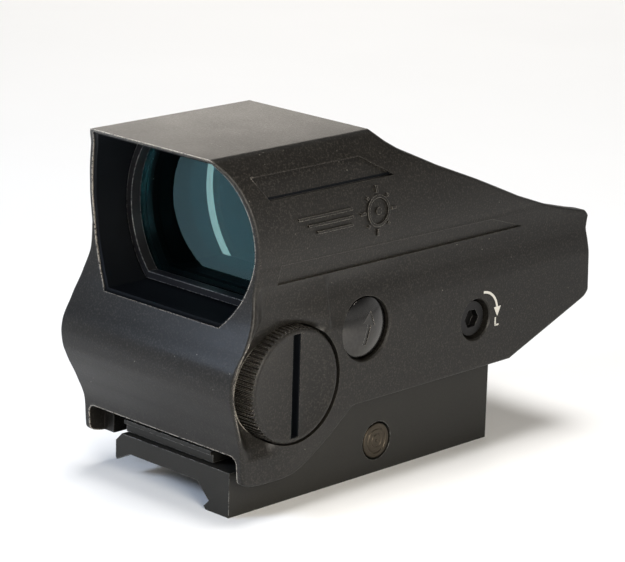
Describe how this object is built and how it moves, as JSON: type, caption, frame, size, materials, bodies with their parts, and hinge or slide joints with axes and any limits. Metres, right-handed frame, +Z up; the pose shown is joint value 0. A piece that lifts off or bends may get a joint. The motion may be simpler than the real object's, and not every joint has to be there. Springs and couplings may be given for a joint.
{
  "type": "red dot finder",
  "caption": "Hooded reflex sight with a coated lens, coin cell, push buttons, aiming screws and a clamp base for an accessory rail.",
  "frame": {"origin": "middle of the groove's ceiling, the face that rests on the rail", "axes": "+Y from the front lens to the tail, +Z up, +X towards the battery cap"},
  "size_m": [0.0432, 0.0874, 0.0596],
  "materials": {
    "painted_alloy": "warm dark grey satin paint with fine grain on die-cast alloy",
    "anodised_alloy": "dark grey anodised, fine blasted grain",
    "turned_black_metal": "black anodised, turned, glossy, edges worn bright",
    "steel": "turned, brownish",
    "black_steel": "black oxide",
    "rubber": "matt black",
    "black_plastic": "moulded, satin",
    "brass": "plain spring brass",
    "circuit_board": "green solder mask",
    "red_led": "clear red",
    "coated_glass": "polished, teal anti-reflection coating"
  },
  "bodies": {
    "housing": {"housing": "painted_alloy", "front_lens": "coated_glass", "lens_retaining_ring": "turned_black_metal", "lens_gasket": "rubber", "rear_window": "coated_glass", "rear_window_frame": "turned_black_metal", "bottom_cover": "anodised_alloy", "rail_base": "anodised_alloy", "cross_bolt": "steel", "base_screw_1": "black_steel", "base_screw_2": "black_steel", "base_screw_3": "black_steel", "base_screw_4": "black_steel", "main_circuit_board": "circuit_board", "board_screw_near": "black_steel", "board_screw_far": "black_steel", "driver_chip": "black_plastic", "coin_cell": "steel", "battery_insulator": "black_plastic", "battery_contact": "brass", "up_button_seal": "rubber", "down_button_seal": "rubber", "up_switch": "black_plastic", "down_switch": "black_plastic", "up_switch_board": "circuit_board", "down_switch_board": "circuit_board", "emitter_window": "coated_glass"},
    "up_button": {"up_button": "turned_black_metal"},
    "down_button": {"down_button": "turned_black_metal"},
    "cap_thread": {"battery_seal": "rubber"},
    "battery_cap": {"battery_cap": "painted_alloy"},
    "windage_screw": {"windage_screw": "black_steel", "windage_retainer": "black_steel"},
    "windage_carriage": {"windage_carriage": "anodised_alloy"},
    "elevation_screw": {"elevation_screw": "black_steel", "elevation_retainer": "black_steel"},
    "emitter_slide": {"emitter_slide": "black_plastic", "led_board": "circuit_board", "emitter_led": "red_led", "aperture_mask": "black_steel"},
    "clamp_bar": {"clamp_bar": "anodised_alloy"},
    "clamp_nut": {"clamp_nut": "steel"}
  },
  "joints": [
    {"name": "up_button_press", "type": "slide", "parent": "housing", "child": "up_button", "axis": [-1, 0, 0], "range_m": [0, 0.0006], "stiffness_N_per_m": 600},
    {"name": "down_button_press", "type": "slide", "parent": "housing", "child": "down_button", "axis": [1, 0, 0], "range_m": [0, 0.0006], "stiffness_N_per_m": 600},
    {"name": "battery_cap_lift", "type": "slide", "parent": "housing", "child": "cap_thread", "axis": [1, 0, 0], "range_m": [0, 0.00225]},
    {"name": "battery_cap_turn", "type": "hinge", "parent": "cap_thread", "child": "battery_cap", "pos_m": [0, -0.0217, 0.01722], "axis": [1, 0, 0], "range_deg": [0, 1085]},
    {"name": "windage_turn", "type": "hinge", "parent": "housing", "child": "windage_screw", "pos_m": [0, 0.0211, 0.02012], "axis": [1, 0, 0], "range_deg": [-545, 545]},
    {"name": "windage_travel", "type": "slide", "parent": "housing", "child": "windage_carriage", "axis": [1, 0, 0], "range_m": [-0.00075, 0.00075]},
    {"name": "elevation_turn", "type": "hinge", "parent": "windage_carriage", "child": "elevation_screw", "pos_m": [0, 0.0305, 0.02352], "axis": [0, 0, 1], "range_deg": [-440, 440]},
    {"name": "elevation_travel", "type": "slide", "parent": "windage_carriage", "child": "emitter_slide", "axis": [0, 0, 1], "range_m": [-0.0006, 0.0006]},
    {"name": "clamp_bar_travel", "type": "slide", "parent": "housing", "child": "clamp_bar", "axis": [-1, 0, 0], "range_m": [0, 0.0016]},
    {"name": "clamp_nut_turn", "type": "hinge", "parent": "clamp_bar", "child": "clamp_nut", "pos_m": [0, 0.00313, 0.00109], "axis": [-1, 0, 0], "range_deg": [0, 725]}
  ],
  "couplings": [
    {"joint": "battery_cap_turn", "follows": "battery_cap_lift", "rad_per_m": 8377.6},
    {"joint": "windage_turn", "follows": "windage_travel", "rad_per_m": -12566},
    {"joint": "elevation_turn", "follows": "elevation_travel", "rad_per_m": -12566},
    {"joint": "clamp_nut_turn", "follows": "clamp_bar_travel", "rad_per_m": 7854}
  ]
}
